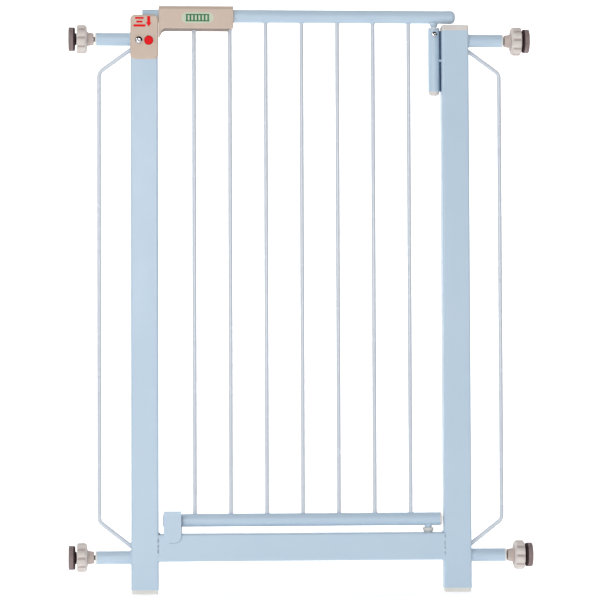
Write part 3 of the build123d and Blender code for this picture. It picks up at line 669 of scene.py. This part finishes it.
def screw_dome(name, node, radius, tall):
    """Domed head on a screw's face, with its recess left as a darker cup in the middle. Millimetres."""
    around = 40
    centre = middle(node)
    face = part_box(node)[0][1]
    profile = [(radius, 0.3)]
    for angle in range(0, 71, 10):
        a = math.radians(angle)
        profile.append((radius * math.cos(a), -tall * math.sin(a)))
    profile += [(radius * 0.26, -tall * 0.8), (radius * 0.1, -tall * 0.35)]
    bm = bmesh.new()
    rings = []
    for r, d in profile:
        ring = []
        for j in range(around):
            a = 2 * math.pi * j / around
            ring.append(bm.verts.new((centre.x + r * math.cos(a) * MM, face + d * MM,
                                      centre.z + r * math.sin(a) * MM)))
        rings.append(ring)
    loft(bm, rings)
    piece_from(name, bm, DOME, "frame")


screw_dome("cover_screw_dome", "latch_cover_screw", 5.1, 1.4)
screw_dome("hinge_screw_dome", "hinge_screw", 3.9, 1.2)


# ------------------------------------------------------------------ painted shade under the handle
def handle_shade_plate():
    """Darker plate in place of the shade under the grip. It curves down behind the tail at the left."""
    drop = 20.3 * MM
    curve_r = 8 * MM
    tail_w = 2.6 * MM
    plate_in = 1.6 * MM
    curve_in = 1.2 * MM
    bm = bmesh.new()
    grip_lo, grip_hi = corners_of("handle_front")
    back_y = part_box("handle_back")[1][1]
    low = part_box("top_rail")[0][2] + TUBE_R - drop
    bend_x, bend_z = grip_lo.x + tail_w + curve_r, low - curve_r
    prism(bm, (bend_x, grip_lo.y + plate_in, low - 0.25 * MM),
          (grip_hi.x - 6 * MM, back_y - plate_in, low + 0.3 * MM))
    inner, outer = curve_r - 0.25 * MM, curve_r + 0.2 * MM
    front, back = grip_lo.y + curve_in, back_y - curve_in
    rows = []
    for i in range(10):
        a = math.radians(90 + 10 * i)
        rows.append([bm.verts.new((bend_x + r * math.cos(a), y, bend_z + r * math.sin(a)))
                     for r, y in ((inner, front), (inner, back), (outer, back), (outer, front))])
    loft(bm, rows)
    piece_from("handle_shade_plate", bm, SHADE, "gate_leaf", smooth=False)


handle_shade_plate()


# ------------------------------------------------------------------ floor, light, camera
def studio():
    """Floor that curves up far behind into a backdrop. It glows a little and is see-through from behind."""
    bm = bmesh.new()
    wide, near, far, bend, tall = 12.0, -6.0, 4.0, 1.5, 7.0
    path = [(near, 0.0), (far - bend, 0.0)]
    for i in range(1, 13):
        a = math.pi / 2 * i / 12
        path.append((far - bend + bend * math.sin(a), bend - bend * math.cos(a)))
    path.append((far, tall))
    rows = [[bm.verts.new((x, y, z)) for x in (-wide / 2, wide / 2)] for y, z in path]
    for a, b in zip(rows, rows[1:]):
        bm.faces.new((a[0], a[1], b[1], b[0]))
    mesh = bpy.data.meshes.new("studio_floor")
    bm.to_mesh(mesh)
    bm.free()
    floor = bpy.data.objects.new("studio_floor", mesh)
    bpy.context.scene.collection.objects.link(floor)
    mat = bpy.data.materials.new("studio_white")
    mat.use_nodes = True
    shader = mat.node_tree.nodes["Principled BSDF"]
    shader.inputs["Base Color"].default_value = (0.93, 0.93, 0.93, 1)
    shader.inputs["Roughness"].default_value = 0.9
    shader.inputs["Specular IOR Level"].default_value = 0.1
    shader.inputs["Emission Color"].default_value = (1, 1, 1, 1)
    shader.inputs["Emission Strength"].default_value = 0.42
    tree = mat.node_tree
    through = tree.nodes.new("ShaderNodeBsdfTransparent")
    geometry = tree.nodes.new("ShaderNodeNewGeometry")
    either = tree.nodes.new("ShaderNodeMixShader")
    link(tree, geometry, "Backfacing", either, 0)
    link(tree, shader, "BSDF", either, 1)
    link(tree, through, "BSDF", either, 2)
    link(tree, either, "Shader", tree.nodes["Material Output"], "Surface")
    mesh.materials.append(mat)
    for polygon in mesh.polygons:
        polygon.use_smooth = True


studio()

# dim as a light, white where the camera sees it
world = bpy.data.worlds.new("soft_white")
bpy.context.scene.world = world
world.use_nodes = True
world.node_tree.nodes["Background"].inputs["Color"].default_value = (1, 1, 1, 1)
seen = world.node_tree.nodes.new("ShaderNodeLightPath")
strength = remap(world.node_tree, seen, "Is Camera Ray", 0.0, 1.0, 0.16, 1.0)
link(world.node_tree, strength, "Result", world.node_tree.nodes["Background"], "Strength")


def area_light(name, place, target, size, power):
    data = bpy.data.lights.new(name, "AREA")
    data.shape = "RECTANGLE"
    data.size, data.size_y = size
    data.energy = power
    lamp = bpy.data.objects.new(name, data)
    lamp.location = place
    aim = Vector(target) - Vector(place)
    lamp.rotation_euler = aim.to_track_quat("-Z", "Y").to_euler()
    bpy.context.scene.collection.objects.link(lamp)


area_light("key", (-2.9, -4.3, 3.0), (0, 0, 0.3), (2.2, 1.8), 60)
area_light("front", (-0.9, -5.4, 0.9), (0, 0, 0.1), (1.8, 1.0), 80)
area_light("top", (0, -0.5, 3.4), (0, 0, 0.8), (2.0, 1.4), 14)
area_light("backdrop_left", (-2.3, 1.5, 2.4), (-0.3, 3.6, 0.7), (1.2, 1.2), 46)
area_light("backdrop_right", (2.3, 1.5, 2.4), (0.5, 3.6, 0.7), (1.2, 1.2), 46)

camera_data = bpy.data.cameras.new("camera")
camera_data.sensor_width = 36.0
camera_data.lens = 154.284
camera_data.clip_end = 60.0
camera = bpy.data.objects.new("camera", camera_data)
yaw, pitch, roll = -0.06222, 0.03577, -0.00372
forward = Vector((-math.sin(yaw) * math.cos(pitch), math.cos(yaw) * math.cos(pitch), math.sin(pitch)))
level = Vector((math.cos(yaw), math.sin(yaw), 0))
up = level.cross(forward)
right = math.cos(roll) * level + math.sin(roll) * up
up = -math.sin(roll) * level + math.cos(roll) * up
turn = Matrix((right, up, -forward)).transposed().to_4x4()
camera.matrix_world = Matrix.Translation((-0.23593, -3.77027, 0.29323)) @ turn
bpy.context.scene.collection.objects.link(camera)
bpy.context.scene.camera = camera
bpy.context.scene.view_settings.view_transform = "Standard"
